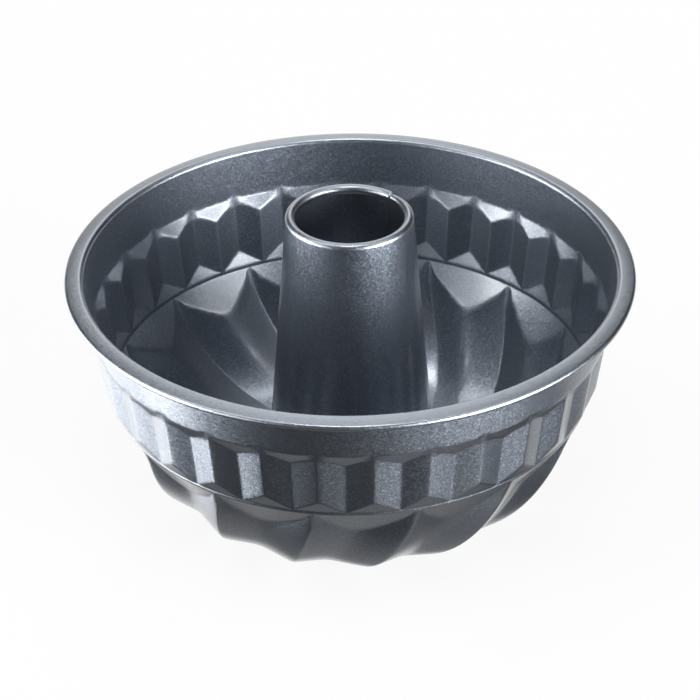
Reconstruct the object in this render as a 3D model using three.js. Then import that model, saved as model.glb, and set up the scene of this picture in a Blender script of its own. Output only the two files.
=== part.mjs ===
// Fluted tube pan: a ring mould pressed from sheet steel, with a separate rolled tube in its middle.
// Millimetres, +Z up. The pan stands on its base ring at z = 0 and its front faces -Y.
import * as THREE from 'three';

// Sheets and the seam that joins them
const sheet = 0.5; // thickness of both steel sheets
const seamGap = 0.3; // clear gap between neighbouring layers of the seam
const seamFlange = 2.4; // how far the body's collar turns outwards inside the seam
const seamLift = 1; // clear height under the seam
const seamHeadroom = 0.8; // spare height between the seam and the floor above it

// Rim and the plain band under it
const panDepth = 99; // rim's inner edge, its highest line, above the base
const rimRadius = 110; // outermost edge of the curl
const rimWidth = 7.35; // from the mouth to that edge
const rimDrop = 0.7; // how far the rim falls from its inner edge to the top of the curl
const curlRadius = 1.3; // outside radius of the curl
const curlSweep = 240; // degrees that the curl turns through
const mouthBend = 1.9; // outside radius of the bend from the rim into the band
const bandHeight = 20.15; // from the rim's inner edge to the prisms' roofs
const bandInset = 2.1; // how far the band tapers in over its height

// Ring of upright prisms
const prismsPerPetal = 2;
const prismHeight = 23.25; // from the band's foot to the bottom of an outward ridge
const prismInset = 3.2; // how far a ridge tapers in over that height
const prismShoulder = 0.47; // from the band's foot in to the line of the outward ridges
const prismDepth = 2.1; // from the outward ridges in to the inward ones
const roofDrop = 5.8; // from the band's foot down to the top of an inward ridge
const floorDrop = 5.95; // from the bottom of an outward ridge down to the bottom of an inward one
const prismTurn = 1.3; // degrees clockwise, seen from above, from the back to an inward ridge

// Swirled petals
const petals = 15;
const stepHeight = 1.2; // plain step between prisms and petals
const stepInset = 0.06; // how far the step tapers in
const creaseInset = 1.22; // from the step's foot in to the top of a crease
const creaseDrop = 1.95; // from the step's foot down to the top of a crease
const petalLead = 1.6; // degrees clockwise from an outward ridge to the crease under it
const petalDepth = 4.3; // how far a petal's middle stands in from the creases
const petalSoftness = 0.35; // rounding of a petal's middle, as a share of its half width
const petalFade = 2.5; // how late the petals flatten towards the base
const roofShare = 0.19; // share of a petal's length that its slanting roof takes
const swirlTurn = 17.4; // degrees clockwise that a crease turns on its way down
const swirlGrowth = 1.4; // above 1, the swirl starts gently
const wallLean = 5.4; // how far the crease leans in over wallReach
const wallReach = 21.3; // height over which the crease still runs steeply
const turnReach = 25.8; // how far outside the base ring the crease starts to level out

// Base
const standWidth = 6; // width of the flat ring that the pan stands on
const riseWidth = 5.5; // width of the slope from that ring up to the seam

// Centre tube
const tubeRise = 22.7; // lip above the rim's inner edge
const tubeTopRadius = 24.7; // outside radius under the lip
const tubeFootRadius = 34; // outside radius where the tube goes through the floor
const lipRadius = 1.9; // outside radius of the lip's inward curl
const lipSweep = 240; // degrees that the lip turns through

// Fineness of the facets
const columnsPerPrism = 4;
const petalRows = 6;
const tubeColumns = 48;
const curlSteps = 3;
const bendSteps = 2;
const lipSteps = 5;

const weldsPerMillimetre = 1e5; // corners nearer together than this fineness become one

// Look of the coated steel
const bodyColor = 0x4b5059;
const tubeColor = 0x50555e;
const coatRoughness = 0.38;
const coatMetalness = 0.75;

// Places that follow from the sizes, all on the middle of the sheet
const half = sheet / 2;
const layer = sheet + seamGap;
const mouthRadius = rimRadius - rimWidth;
const bandFoot = panDepth - bandHeight;
const bandRadius = mouthRadius + half - bandInset;
const prismTaper = prismInset / prismHeight;
const prismFoot = bandFoot - prismHeight;
const ringHeight = prismFoot - floorDrop;
const ringRadius = ridgeRadius(ringHeight) - prismDepth;
const stepFoot = ringHeight - stepHeight;
const stepRadius = ringRadius - stepInset;
const creaseRadius = stepRadius - creaseInset;
const creaseHeight = stepFoot - creaseDrop;
const collarRadius = tubeFootRadius + seamGap + half;
const flangeRadius = collarRadius + seamFlange;
const flangeHeight = seamLift + half + layer;
const floorHeight = flangeHeight + 2 * layer + seamHeadroom;
const hemRadius = flangeRadius + seamGap + half;
const riseRadius = hemRadius + half + layer;
const standInner = riseRadius + riseWidth;
const standOuter = standInner + standWidth;
const columnsPerPetal = columnsPerPrism * prismsPerPetal;

const crease = new THREE.CubicBezierCurve(
  new THREE.Vector2(creaseRadius, creaseHeight),
  new THREE.Vector2(creaseRadius - wallLean, creaseHeight - wallReach),
  new THREE.Vector2(standOuter + turnReach, half),
  new THREE.Vector2(standOuter, half),
);

// Radius of the outward prism ridges at a height
function ridgeRadius(height) {
  return bandRadius - prismShoulder - prismTaper * (bandFoot - height);
}

// Points of a path are [radius, height, turn in degrees]
function arc(centreRadius, centreHeight, radius, fromDegrees, toDegrees, steps) {
  return Array.from({ length: steps + 1 }, (_, step) => {
    const angle = THREE.MathUtils.degToRad(THREE.MathUtils.lerp(fromDegrees, toDegrees, step / steps));
    return [centreRadius + radius * Math.cos(angle), centreHeight + radius * Math.sin(angle), 0];
  });
}

// Straight-sided wave: 0 at whole numbers, 1 half way between them
function sharpWave(position) {
  return 1 - Math.abs(2 * (position - Math.floor(position)) - 1);
}

// The same wave with its crest rounded, so that only the creases stay sharp
function softWave(position) {
  const away = 1 - sharpWave(position);
  const rounded = (x) => Math.hypot(x, petalSoftness) - petalSoftness;
  return 1 - rounded(away) / rounded(1);
}

// Curl, sloping rim and the bend into the mouth
function rimPath() {
  const curlCentre = [rimRadius - curlRadius, panDepth - rimDrop - curlRadius];
  const bendCentre = [mouthRadius + mouthBend, panDepth - mouthBend];
  return [
    ...arc(...curlCentre, curlRadius - half, 90 - curlSweep, 90, curlSteps),
    ...arc(...bendCentre, mouthBend - half, 90, 180, bendSteps),
  ];
}

// Band's foot, slanting roof, prism wall and slanting floor; wave is 0 on an outward ridge
function prismPath(wave) {
  const roofFall = (roofDrop * (prismShoulder + prismDepth * wave)) / (prismShoulder + prismDepth);
  const wallPoint = (height) => [ridgeRadius(height) - prismDepth * wave, height, 0];
  return [
    [bandRadius, bandFoot, 0],
    wallPoint(bandFoot - roofFall),
    wallPoint(prismFoot - floorDrop * wave),
    [ringRadius, ringHeight, 0],
  ];
}

// Step, slanting roof and petal down to the base ring; wave is 0 on a crease
function petalPath(wave) {
  const path = [[stepRadius, stepFoot, petalLead]];
  for (let row = 0; row <= petalRows; row++) {
    const along = THREE.MathUtils.lerp(roofShare * wave, 1, row / petalRows);
    const point = crease.getPoint(along);
    const down = crease.getTangent(along);
    const depth = petalDepth * wave * (1 - along ** petalFade);
    path.push([
      point.x + depth * down.y,
      point.y - depth * down.x,
      petalLead + swirlTurn * along ** swirlGrowth,
    ]);
  }
  return path;
}

// Flat standing ring, slope up to the floor, and the collar that the tube's foot is folded round
function basePath() {
  const turn = petalLead + swirlTurn;
  return [
    [standInner, half, turn],
    [riseRadius, floorHeight, turn],
    [collarRadius, floorHeight, turn],
    [collarRadius, flangeHeight, turn],
    [flangeRadius, flangeHeight, turn],
  ];
}

function bodyPath(column) {
  return [
    ...rimPath(),
    ...prismPath(sharpWave(column / columnsPerPrism)),
    ...petalPath(softWave(column / columnsPerPetal)),
    ...basePath(),
  ];
}

// Curled lip, cone, and the foot that wraps under, round and over the body's flange
function tubePath() {
  const wallRadius = tubeFootRadius - half;
  const lipHeight = panDepth + tubeRise - lipRadius;
  return [
    ...arc(tubeTopRadius - lipRadius, lipHeight, lipRadius - half, lipSweep, 0, lipSteps),
    [wallRadius, floorHeight, 0],
    [wallRadius, flangeHeight - layer, 0],
    [hemRadius, flangeHeight - layer, 0],
    [hemRadius, flangeHeight + layer, 0],
    [collarRadius + layer, flangeHeight + layer, 0],
  ];
}

// Distance and direction from each point of a path to the left-hand face of the sheet
function faceOffsets(path) {
  const same = (p, q) => Math.hypot(p[0] - q[0], p[1] - q[1]) < 1 / weldsPerMillimetre;
  return path.map((point, index) => {
    const before = path.slice(0, index).findLast((p) => !same(p, point)) ?? point;
    const after = path.slice(index + 1).find((p) => !same(p, point)) ?? point;
    const normals = [[before, point], [point, after]]
      .filter(([p, q]) => !same(p, q))
      .map(([p, q]) => new THREE.Vector2(p[1] - q[1], q[0] - p[0]).normalize());
    const middle = normals.reduce((sum, n) => sum.add(n), new THREE.Vector2()).normalize();
    return middle.multiplyScalar(half / middle.dot(normals[0] ?? middle));
  });
}

// A closed body of sheet metal round the axis, from one path per column
function sheetBody(columns, pathOfColumn, firstTurn) {
  const positions = [];
  const indices = [];
  const numbered = new Map();

  function vertex(radius, height, degrees) {
    const angle = THREE.MathUtils.degToRad(degrees);
    const place = [radius * Math.sin(angle), radius * Math.cos(angle), height];
    const key = place.map((value) => Math.round(value * weldsPerMillimetre)).join();
    if (!numbered.has(key)) {
      numbered.set(key, numbered.size);
      positions.push(...place);
    }
    return numbered.get(key);
  }

  function triangle(a, b, c) {
    if (a !== b && b !== c && c !== a) indices.push(a, b, c);
  }

  function quad(a, b, c, d) {
    triangle(a, b, d);
    triangle(b, c, d);
  }

  const outside = [];
  const inside = [];
  for (let column = 0; column < columns; column++) {
    const path = pathOfColumn(column);
    const offsets = faceOffsets(path);
    const azimuth = firstTurn + (360 * column) / columns;
    const face = (side) => path.map(([radius, height, turn], index) =>
      vertex(radius + side * offsets[index].x, height + side * offsets[index].y, azimuth + turn));
    outside.push(face(1));
    inside.push(face(-1));
  }

  for (let column = 0; column < columns; column++) {
    const next = (column + 1) % columns;
    const [outA, outB, inA, inB] = [outside[column], outside[next], inside[column], inside[next]];
    const last = outA.length - 1;
    for (let row = 0; row < last; row++) {
      quad(outA[row], outB[row], outB[row + 1], outA[row + 1]);
      quad(inA[row + 1], inB[row + 1], inB[row], inA[row]);
    }
    quad(outB[0], outA[0], inA[0], inB[0]);
    quad(outA[last], outB[last], inB[last], inA[last]);
  }

  const geometry = new THREE.BufferGeometry();
  geometry.setAttribute('position', new THREE.Float32BufferAttribute(positions, 3));
  geometry.setIndex(indices);
  geometry.computeVertexNormals();
  return geometry;
}

function coatedSteel(color) {
  return new THREE.MeshStandardMaterial({
    color,
    roughness: coatRoughness,
    metalness: coatMetalness,
    flatShading: true,
  });
}

function panBody() {
  const firstRidge = prismTurn - 180 / (petals * prismsPerPetal);
  const pressing = sheetBody(petals * columnsPerPetal, bodyPath, firstRidge);
  const mesh = new THREE.Mesh(pressing, coatedSteel(bodyColor));
  mesh.name = 'pan_body';
  return mesh;
}

function centreTube() {
  const mesh = new THREE.Mesh(sheetBody(tubeColumns, tubePath, 0), coatedSteel(tubeColor));
  mesh.name = 'centre_tube';
  return mesh;
}

const pan = new THREE.Group();
pan.add(panBody(), centreTube());

export default pan;
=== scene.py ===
# Fluted tube pan: a ring mould pressed from coated sheet steel, with a rolled tube seamed into its middle.
import math

import bpy
import numpy as np
from mathutils import Matrix, Vector


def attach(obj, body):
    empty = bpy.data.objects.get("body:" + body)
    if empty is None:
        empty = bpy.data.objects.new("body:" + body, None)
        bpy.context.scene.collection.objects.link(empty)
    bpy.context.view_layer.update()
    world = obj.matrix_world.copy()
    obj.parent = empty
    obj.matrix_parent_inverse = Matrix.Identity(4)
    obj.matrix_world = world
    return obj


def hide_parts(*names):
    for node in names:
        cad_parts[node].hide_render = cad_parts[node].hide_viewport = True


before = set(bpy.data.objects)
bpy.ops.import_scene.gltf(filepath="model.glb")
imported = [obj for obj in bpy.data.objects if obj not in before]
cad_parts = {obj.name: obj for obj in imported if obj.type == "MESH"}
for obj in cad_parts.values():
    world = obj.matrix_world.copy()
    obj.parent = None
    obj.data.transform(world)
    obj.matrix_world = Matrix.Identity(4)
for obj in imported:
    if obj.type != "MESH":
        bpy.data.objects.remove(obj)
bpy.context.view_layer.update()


# Pan body. One disc of half-millimetre sheet steel, drawn into a ring mould and pressed between dies into a
# ring of upright prisms over fifteen swirled petals. The edge is turned out flat and curled under, and the
# dark non-stick coat, full of fine metal flakes, is sprayed and baked on to both faces.
MM = 0.001
sheet = 0.5
half = sheet / 2

# Rim and plain band, in millimetres and degrees
pan_depth = 99
rim_radius = 110
rim_width = 7.35
rim_drop = 0.7
curl_radius = 1.3
curl_end = -200
curl_steps = 18
mouth_bend = 1.9
mouth_steps = 9
band_height = 20.15
band_inset = 2.1

# Prisms. The rounding and the saddle's width are shares of a facet.
petals = 15
prisms_per_petal = 2
facets_per_prism = 2
prism_height = 23.25
prism_inset = 3.2
prism_shoulder = 0.47
prism_depth = 2.1
roof_drop = 5.8
floor_drop = 5.95
least_floor = 0.15
prism_turn = 1.3
prism_rounding = 0.05
saddle_spread = 1.7
saddle_width = 0.45

# Step and petals. Rounding, cut, width, softness and the roof's values are shares, fade and growth powers.
step_height = 1.2
step_inset = 0.06
crease_inset = 1.22
crease_drop = 1.95
crease_rounding = 0.03
crease_cut = 0.85
crease_width = 0.14
petal_lead = 1.6
petal_depth = 4.3
petal_softness = 0.35
petal_fade = 2.5
petal_rows = 24
roof_share = 0.19
roof_run_out = 0.08
swirl_turn = 17.4
swirl_growth = 1.4
wall_lean = 5.4
wall_reach = 21.3
turn_reach = 25.8

# Standing ring, raised floor and the collar that the tube is seamed to
tube_foot_radius = 34
seam_gap = 0.3
seam_flange = 2.4
seam_lift = 1
seam_headroom = 0.8
stand_width = 6
rise_width = 5.5
base_bend = 0.6

# How far the pressed corners are rounded: band foot, roof edge, floor edge, ring, step and petal roof
corner_reaches = (0.8, 0.9, 0.9, 0.8, 0.5, 1.6)

layer = sheet + seam_gap
mouth_radius = rim_radius - rim_width
band_foot = pan_depth - band_height
band_radius = mouth_radius + half - band_inset
band_taper = band_inset / (band_height - mouth_bend)
ridge_radius = band_radius - prism_shoulder
prism_taper = prism_inset / prism_height
prism_foot = band_foot - prism_height
ring_height = prism_foot - floor_drop
ring_radius = ridge_radius - prism_taper * (band_foot - ring_height) - prism_depth
step_foot = ring_height - step_height
step_radius = ring_radius - step_inset
collar_radius = tube_foot_radius + seam_gap + half
flange_radius = collar_radius + seam_flange
flange_height = seam_lift + half + layer
floor_height = flange_height + 2 * layer + seam_headroom
hem_radius = flange_radius + seam_gap + half
rise_radius = hem_radius + half + layer
stand_inner = rise_radius + rise_width
stand_outer = stand_inner + stand_width


def crowded(steps, crowding=0.8):
    """Shares from 0 to 1 that lie closer together towards both ends."""
    share = np.linspace(0, 1, steps + 1)
    return share - crowding * np.sin(2 * np.pi * share) / (2 * np.pi)


def zigzag(position):
    """Straight-sided wave: 0 at whole numbers, 1 half way between them."""
    return 1 - np.abs(2 * (position % 1) - 1)


def rounded_foot(wave, rounding):
    """The same wave from 0 to 1 with its corner at 0 rounded."""
    return (np.hypot(wave, rounding) - rounding) / (math.hypot(1, rounding) - rounding)


def eased_share(value, end):
    """Rises smoothly from 0 at 0 to 1 at the end."""
    share = np.clip(value / end, 0, 1)
    return share**2 * (3 - 2 * share)


def arc(centre_radius, centre_height, radius, from_degrees, to_degrees, steps):
    """Points on part of a circle, each a radius and a height. 0 degrees is away from the axis, 90 is up."""
    angles = np.radians(np.linspace(from_degrees, to_degrees, steps + 1))
    return [(centre_radius + radius * math.cos(a), centre_height + radius * math.sin(a)) for a in angles]


def bent(points, radius, steps=4):
    """A path of straight runs with each inner corner bent to a radius."""
    path = [points[0]]
    for before, corner, after in zip(points, points[1:], points[2:]):
        corner = Vector(corner)
        back = Vector(before) - corner
        on = Vector(after) - corner
        reach = radius / math.tan(back.angle(on) / 2)
        start = corner + back.normalized() * reach
        end = corner + on.normalized() * reach
        for share in np.linspace(0, 1, steps + 1):
            path.append(tuple(start.lerp(corner, share).lerp(corner.lerp(end, share), share)))
    return path + [points[-1]]


def eased(corners, reaches, steps=5, most_share=0.45, between=(0.1, 0.5, 0.9)):
    """Rows along straight runs between rows of corners, with each inner corner eased over a short reach."""
    bends = [[corners[0]]]
    for before, corner, after, reach in zip(corners, corners[1:], corners[2:], reaches):
        start, end = (
            corner + (other - corner) * np.minimum(reach / np.hypot(*(other - corner)[:2]), most_share)
            for other in (before, after)
        )
        shares = np.linspace(0, 1, steps + 1)
        bends.append([(1 - n) ** 2 * start + 2 * n * (1 - n) * corner + n**2 * end for n in shares])
    bends.append([corners[-1]])
    rows = []
    for bend, following in zip(bends, bends[1:]):
        rows += bend + [bend[-1] + (following[0] - bend[-1]) * n for n in between]
    return rows


def crease_line(along):
    """Radius, height and direction of a petal's crease, on a curve from under the step to the base ring."""
    top_radius = step_radius - crease_inset
    top = step_foot - crease_drop
    radii = (top_radius, top_radius - wall_lean, stand_outer + turn_reach, stand_outer)
    heights = (top, top - wall_reach, half, half)
    rest = 1 - along
    place = (rest**3, 3 * rest**2 * along, 3 * rest * along**2, along**3)
    slope = (rest**2, 2 * rest * along, along**2)
    radius = sum(w * r for w, r in zip(place, radii))
    height = sum(w * z for w, z in zip(place, heights))
    out = sum(w * (b - a) for w, a, b in zip(slope, radii, radii[1:]))
    up = sum(w * (b - a) for w, a, b in zip(slope, heights, heights[1:]))
    length = np.hypot(out, up)
    return radius, height, out / length, up / length


def rim_edge():
    """Curl and mouth of the rim, as points from the curl's hidden end to the top of the plain band."""
    curl_centre = Vector((rim_radius - curl_radius, pan_depth - rim_drop - curl_radius))
    mouth_centre = Vector((mouth_radius + mouth_bend, pan_depth - mouth_bend))
    across_rim = curl_centre - mouth_centre
    rim_lean = math.acos((mouth_bend - curl_radius) / across_rim.length)
    rim_facing = math.degrees(math.atan2(across_rim.y, across_rim.x) + rim_lean)
    curl = arc(*curl_centre, curl_radius - half, curl_end, rim_facing, curl_steps)
    mouth = arc(*mouth_centre, mouth_bend - half, rim_facing, 180, mouth_steps)
    return curl + mouth


def body_paths(position):
    """Rows of radius, height and turn for columns at these places, counted in prisms round the pan."""
    ridge_wave = rounded_foot(zigzag(position), prism_rounding)
    prism_wave = 1 - rounded_foot(1 - ridge_wave, prism_rounding)
    across = rounded_foot(zigzag(position / prisms_per_petal), crease_rounding)
    petal_wave = 1 - rounded_foot(1 - across, petal_softness)
    level = np.zeros_like(position)

    def ring(radius, height, turn=0):
        return np.array([radius + level, height + level, turn + level])

    def facet(height):
        return ring(ridge_radius - prism_taper * (band_foot - height) - prism_depth * prism_wave, height)

    def petal(along):
        radius, height, out, up = crease_line(along)
        depth = petal_depth * petal_wave * (1 - along**petal_fade)
        return ring(radius + depth * up, height - depth * out, petal_lead + swirl_turn * along**swirl_growth)

    roof_fall = roof_drop * (prism_shoulder + prism_depth * prism_wave) / (prism_shoulder + prism_depth)
    saddle = saddle_spread * (1 - eased_share(prism_wave, saddle_width))
    floor_edge = np.maximum(prism_foot - floor_drop * prism_wave, ring_height + least_floor)
    petal_edge = roof_share * petal_wave
    petal_start = petal_edge + roof_run_out * (1 - petal_edge)
    step_edge = ring(step_radius, step_foot, petal_lead)
    cut = crease_cut * (1 - eased_share(across, crease_width))
    rim = rim_edge()
    corners = [
        ring(*rim[-1]),
        ring(band_radius + band_taper * saddle, band_foot + saddle),
        facet(band_foot - roof_fall - saddle),
        facet(floor_edge),
        ring(ring_radius, ring_height),
        step_edge,
        petal(petal_edge) + (step_edge - petal(petal_edge)) * cut,
        petal(petal_start),
    ]
    along_petal = np.linspace(0, 1, petal_rows, endpoint=False)
    base = [(stand_outer, half), (stand_inner, half), (rise_radius, floor_height)]
    collar = [(collar_radius, floor_height), (collar_radius, flange_height), (flange_radius, flange_height)]
    rows = [ring(*point) for point in rim[:-1]]
    rows += eased(corners, corner_reaches)
    rows += [petal(petal_start + (1 - petal_start) * share) for share in along_petal]
    rows += [ring(*point, petal_lead + swirl_turn) for point in bent(base + collar, base_bend)]
    return np.stack(rows, 1)


def sheet_metal(name, radius, height, degrees, joined):
    """A closed mesh of sheet steel from rows and columns of points on the middle of the sheet."""
    run = np.gradient(radius, axis=0)
    rise = np.gradient(height, axis=0)
    length = np.hypot(run, rise)
    angle = np.radians(degrees)
    skins = []
    for side in (half, -half):
        r = (radius - side * rise / length) * MM
        z = (height + side * run / length) * MM
        skins.append(np.stack([r * np.sin(angle), r * np.cos(angle), z], -1).reshape(-1, 3))
    rows, columns = radius.shape
    number = np.arange(2 * rows * columns).reshape(2, rows, columns)
    if joined:
        number = np.concatenate([number, number[:, :, :1]], 2)

    def quads(a, b, c, d):
        return np.stack([a.ravel(), b.ravel(), c.ravel(), d.ravel()], -1)

    faces = [
        quads(number[0, :-1, :-1], number[0, :-1, 1:], number[0, 1:, 1:], number[0, 1:, :-1]),
        quads(number[1, 1:, :-1], number[1, 1:, 1:], number[1, :-1, 1:], number[1, :-1, :-1]),
        quads(number[0, 0, 1:], number[0, 0, :-1], number[1, 0, :-1], number[1, 0, 1:]),
        quads(number[0, -1, :-1], number[0, -1, 1:], number[1, -1, 1:], number[1, -1, :-1]),
    ]
    if not joined:
        faces.append(quads(number[0, :-1, 0], number[0, 1:, 0], number[1, 1:, 0], number[1, :-1, 0]))
        faces.append(quads(number[0, 1:, -1], number[0, :-1, -1], number[1, :-1, -1], number[1, 1:, -1]))
    mesh = bpy.data.meshes.new(name)
    mesh.from_pydata(np.concatenate(skins).tolist(), [], np.concatenate(faces).tolist())
    mesh.polygons.foreach_set("use_smooth", [True] * len(mesh.polygons))
    piece = bpy.data.objects.new(name, mesh)
    bpy.context.scene.collection.objects.link(piece)
    return piece


class Shade:
    """A socket in a node tree. Arithmetic on it adds Math nodes."""

    def __init__(self, tree, socket=None):
        self.tree = tree
        self.socket = socket

    def node(self, kind, settings, sockets, output=0):
        """Adds a node: its settings are set first, then its sockets' values or links."""
        made = self.tree.nodes.new(kind)
        for name, value in settings.items():
            setattr(made, name, value)
        for name, value in sockets.items():
            if isinstance(value, Shade):
                self.tree.links.new(value.socket, made.inputs[name])
            else:
                made.inputs[name].default_value = value
        return Shade(self.tree, made.outputs[output] if made.outputs else None)

    def math(self, operation, *values):
        return self.node("ShaderNodeMath", {"operation": operation}, dict(enumerate(values)))

    def vector(self, operation, sockets, output=0):
        return self.node("ShaderNodeVectorMath", {"operation": operation}, sockets, output)

    def blend(self, factor, first, second):
        """Mixes two colours, which are a Mix node's inputs 6 and 7 and its output 2."""
        return self.node("ShaderNodeMix", {"data_type": "RGBA"}, {0: factor, 6: first, 7: second}, 2)

    def __add__(self, other):
        return self.math("ADD", self, other)

    def __sub__(self, other):
        return self.math("SUBTRACT", self, other)

    def __rsub__(self, other):
        return self.math("SUBTRACT", other, self)

    def __mul__(self, other):
        return self.math("MULTIPLY", self, other)

    def __pow__(self, other):
        return self.math("POWER", self, other)

    __radd__ = __add__
    __rmul__ = __mul__


def eased_step(value, low, high):
    """Rises smoothly from 0 at the low value to 1 at the high one."""
    return value.node("ShaderNodeMapRange", {"interpolation_type": "SMOOTHSTEP"}, {
        "Value": value, "From Min": low, "From Max": high,
    })


def empty_material(name):
    """A material without nodes, and the start of its node tree."""
    material = bpy.data.materials.new(name)
    material.use_nodes = True
    material.node_tree.nodes.clear()
    return material, Shade(material.node_tree)


def flaked_coat(name):
    """Dark non-stick coat: satin, with metal flakes under a millimetre across that each lean their own way.
    It is smoother along sharp outward bends, and painted lighter there: partly rubbed wear, partly a painted
    highlight where the rounded bend catches the light."""
    coat_tone = (0.198, 0.227, 0.274, 1)
    flake_tone = (0.305, 0.34, 0.39, 1)
    flake_size = 0.5 * MM
    flake_rarity = 3
    flake_strength = 0.7
    flake_lean = 0.14
    middle_grey = (0.5, 0.5, 0.5)
    cloud_size = 30 * MM
    cloud_detail = 3.0
    cloud_strength = 0.06
    wear_and_sheen_start = 0.502
    wear_and_sheen_full = 0.51
    wear_and_sheen_strength = 0.8
    wear_polish = 0.06
    satin = 0.42
    film_roughness = 0.2
    film_ior = 1.7

    material, start = empty_material(name)
    place = start.node("ShaderNodeTexCoord", {}, {}, "Object")
    flakes = start.node("ShaderNodeTexVoronoi", {}, {"Vector": place, "Scale": 1 / flake_size}, "Color")
    glint = start.node("ShaderNodeSeparateColor", {}, {"Color": flakes}, "Red")
    clouds = start.node("ShaderNodeTexNoise", {}, {
        "Vector": place, "Scale": 1 / cloud_size, "Detail": cloud_detail,
    })
    # Mask of sharp outward bends, used for rubbed wear and for a painted highlight along the bends
    wear_and_sheen = eased_step(start.node("ShaderNodeNewGeometry", {}, {}, "Pointiness"), wear_and_sheen_start, wear_and_sheen_full)
    colour = start.blend(glint**flake_rarity * flake_strength, coat_tone, flake_tone)
    # Lighter colour along the bends: partly wear, partly painted highlight
    colour = start.blend(wear_and_sheen * wear_and_sheen_strength, colour, flake_tone)
    tilt = start.vector("SUBTRACT", {0: flakes, 1: middle_grey})
    tilt = start.vector("SCALE", {0: tilt, "Scale": flake_lean})
    upright = start.node("ShaderNodeNewGeometry", {}, {}, "Normal")
    leaning = start.vector("NORMALIZE", {0: start.vector("ADD", {0: upright, 1: tilt})})
    surface = start.node("ShaderNodeBsdfPrincipled", {}, {
        "Base Color": colour,
        "Metallic": 1.0,
        "Roughness": satin + clouds * cloud_strength - wear_and_sheen * wear_polish,
        "Normal": leaning,
        "Coat Weight": 1.0,
        "Coat Roughness": film_roughness,
        "Coat IOR": film_ior,
    })
    start.node("ShaderNodeOutputMaterial", {}, {"Surface": surface})
    return material


columns_per_facet = 10
prisms = prisms_per_petal * petals
prism_pitch = 360 / prisms
across_facet = crowded(columns_per_facet)[:-1]
facet_columns = [(n + across_facet) / facets_per_prism for n in range(facets_per_prism * prisms)]
column_places = np.concatenate(facet_columns)
body_radius, body_height, body_turn = body_paths(column_places)
column_degrees = prism_turn + prism_pitch * (column_places - 0.5)
pan_body = sheet_metal("pressed_body", body_radius, body_height, column_degrees + body_turn, joined=True)
pan_body.data.materials.append(flaked_coat("coated_sheet_steel"))
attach(pan_body, "root")
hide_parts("pan_body")


# Centre tube. A strip of the same steel rolled into a cone and lapped on itself along a straight seam at the
# back. Its top edge is curled inwards, and its foot is folded under, round and over the body's collar.
tube_rise = 22.7
tube_top_radius = 24.7
lip_radius = 1.9
lip_end = 250
lip_steps = 20
lip_run = 0.5
foot_bend = 0.35
seam_degrees = 39
lap_degrees = 7
lap_gap = 0.03
tuck_degrees = 30
tube_columns = 300

lip_height = pan_depth + tube_rise - lip_radius
wall_radius = tube_foot_radius - half
wall_and_foot = [
    (tube_top_radius - half, lip_height - lip_run),
    (wall_radius, floor_height),
    (wall_radius, flange_height - layer),
    (hem_radius, flange_height - layer),
    (hem_radius, flange_height + layer),
    (collar_radius + layer, flange_height + layer),
]
lip = arc(tube_top_radius - lip_radius, lip_height, lip_radius - half, lip_end, 0, lip_steps)
tube_path = np.array(lip + bent(wall_and_foot, foot_bend))
strip = np.linspace(0, 360 + lap_degrees, tube_columns)
tuck = (sheet + lap_gap) * (1 - eased_share(strip - lap_degrees, tuck_degrees))
along_radius, along_height = np.gradient(tube_path, axis=0).T
along_length = np.hypot(along_radius, along_height)
tube_radius = tube_path[:, :1] + (along_height / along_length)[:, None] * tuck
tube_height = tube_path[:, 1:] - (along_radius / along_length)[:, None] * tuck
tube = sheet_metal("rolled_tube", tube_radius, tube_height, seam_degrees + strip, joined=False)
tube.data.materials.append(flaked_coat("coated_tube_steel"))
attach(tube, "root")
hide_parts("centre_tube")


# Studio. A floor of white paper, a white sweep behind the pan, and round softboxes above, behind and at both
# sides. The metal doesn't mirror the floor: below the horizon it shows the lower softboxes, the sweep and the
# dim light of the table. The room in front of the pan is dark.
floor_half = 9
paper_tone = (0.8, 0.8, 0.8, 1)
paper_glow = 0.9
white_light = (1, 1, 1, 1)

floor_corners = [(-1, -1), (1, -1), (1, 1), (-1, 1)]
floor_mesh = bpy.data.meshes.new("floor")
floor_mesh.from_pydata([(x * floor_half, y * floor_half, 0) for x, y in floor_corners], [], [(0, 1, 2, 3)])
floor = bpy.data.objects.new("floor", floor_mesh)
bpy.context.scene.collection.objects.link(floor)
floor.visible_glossy = False


def rays(shade, kind):
    """1 for rays of this kind, else 0."""
    return shade.node("ShaderNodeLightPath", {}, {}, f"Is {kind} Ray")


def white_paper():
    """Paper that the camera sees nearly as white as the backdrop, and that still takes the pan's shadow."""
    material, start = empty_material("white_paper")
    paper = start.node("ShaderNodeBsdfDiffuse", {}, {"Color": paper_tone})
    glow = start.node("ShaderNodeEmission", {}, {"Color": white_light, "Strength": 1.0})
    seen = rays(start, "Camera") * paper_glow
    mixed = start.node("ShaderNodeMixShader", {}, {0: seen, 1: paper, 2: glow})
    start.node("ShaderNodeOutputMaterial", {}, {"Surface": mixed})
    return material


floor_mesh.materials.append(white_paper())

world = bpy.data.worlds.new("studio")
bpy.context.scene.world = world
world.use_nodes = True
world.node_tree.nodes.clear()
sky = Shade(world.node_tree)
facing = sky.node("ShaderNodeTexCoord", {}, {}, "Generated")


def patch(turn, rise, inner, outer):
    """A soft round patch: degrees right of the camera's side, degrees up, and its two radii in degrees."""
    turn, rise, inner, outer = (math.radians(angle) for angle in (turn, rise, inner, outer))
    middle = (math.sin(turn) * math.cos(rise), -math.cos(turn) * math.cos(rise), math.sin(rise))
    nearness = sky.vector("DOT_PRODUCT", {0: facing, 1: middle}, "Value")
    return eased_step(nearness, math.cos(outer), math.cos(inner))


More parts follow.
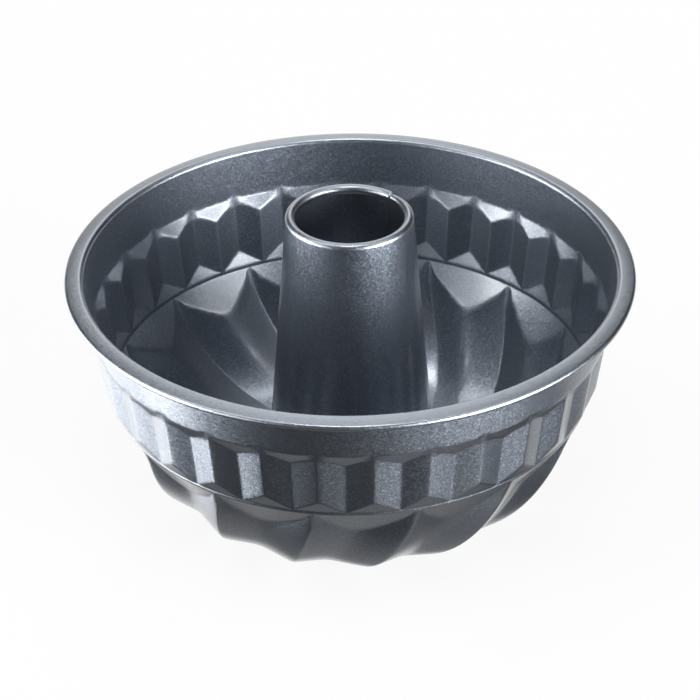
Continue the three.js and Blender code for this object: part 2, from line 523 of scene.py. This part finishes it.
# Each softbox has its patch's turn, rise, inner and outer radius, and then its strength
softboxes = {
    "overhead": (0, 77, 2, 15, 9.5),
    "high right": (90, 62, 3, 20, 1.8),
    "high back": (180, 62, 3, 20, 1.2),
    "high left": (-90, 62, 3, 20, 3.0),
    "middle back": (180, 36, 3, 22, 1.7),
    "middle front right": (60, 36, 3, 20, 1.1),
    "middle front left": (-60, 36, 3, 20, 0.9),
    "left side, wide": (-91, -15, 4, 34, 11.0),
    "left front": (-55, 0, 3, 24, 4.3),
    "left side, small": (-75, 20, 2, 14, 8.4),
    "left side, dim": (-98, 24, 3, 17, 2.4),
    "left back": (-135, -28, 6, 28, 1.8),
    "right front, wide": (55, -2, 2, 38, 11.5),
    "right back": (135, -28, 6, 28, 0.8),
    "table, right front": (50, -48, 4, 30, 0.32),
    "table, front": (0, -30, 4, 26, 0.15),
    "table, under the pan": (180, -82, 8, 34, 0.32),
}
lamps = sum(patch(*place) * strength for *place, strength in softboxes.values())
sweep = patch(turn=185, rise=-22, inner=25, outer=50)
mirrored = sky.math("MAXIMUM", rays(sky, "Glossy"), rays(sky, "Transmission"))
white = sky.math("MAXIMUM", rays(sky, "Camera"), sweep * mirrored)
surround = sky.node("ShaderNodeBackground", {}, {
    "Color": white_light, "Strength": sky.math("MAXIMUM", lamps, white),
})
sky.node("ShaderNodeOutputWorld", {}, {"Surface": surround})


# Camera, where the photograph was taken from: about a metre off, a little over thirty degrees above the rim.
# Its distance, lens and small roll come from a fit to the photograph.
camera_distance = 1.034
camera_elevation = math.radians(30.778)
camera_roll = math.radians(-0.573)
focal_pixels = 2679.3
frame_pixels = 700
aim_point = Vector((-0.0003, 0, 0.0600))

camera = bpy.data.cameras.new("camera")
camera.sensor_width = 36
camera.lens = camera.sensor_width * focal_pixels / frame_pixels
viewer = bpy.data.objects.new("camera", camera)
viewer.location = (
    0,
    -camera_distance * math.cos(camera_elevation),
    pan_depth * MM + camera_distance * math.sin(camera_elevation),
)
looking = (aim_point - viewer.location).to_track_quat("-Z", "Y").to_matrix()
viewer.rotation_mode = "QUATERNION"
viewer.rotation_quaternion = (looking @ Matrix.Rotation(camera_roll, 3, "Z")).to_quaternion()
bpy.context.scene.collection.objects.link(viewer)
bpy.context.scene.camera = viewer
bpy.context.scene.view_settings.view_transform = "Standard"
